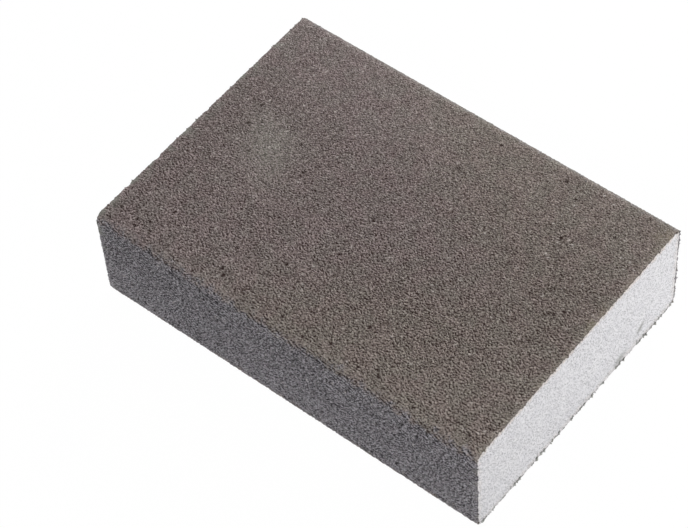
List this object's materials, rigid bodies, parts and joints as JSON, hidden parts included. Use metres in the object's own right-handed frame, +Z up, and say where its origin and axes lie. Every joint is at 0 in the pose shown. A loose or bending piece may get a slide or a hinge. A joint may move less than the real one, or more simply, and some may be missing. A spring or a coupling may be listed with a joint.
{
  "type": "sanding sponge",
  "caption": "Rectangular foam sanding block with an abrasive skin wrapped over its two large faces and two long sides, and bare cut foam at both ends.",
  "frame": {"origin": "centre of the lower working face, on the surface the block lies on", "axes": "+X along the length towards one cut end, +Y across the width, +Z up through the thickness"},
  "size_m": [0.098, 0.069, 0.026],
  "materials": {
    "foam": "fine open-cell foam, cut with a knife, matt, pale cool grey",
    "abrasive": "resin-bonded mineral grit of about 0.3 mm, matt, brown-grey on the large faces and cooler grey on the long sides"
  },
  "bodies": {
    "root": {"foam_core": "foam", "abrasive_skin": "abrasive"}
  },
  "joints": []
}
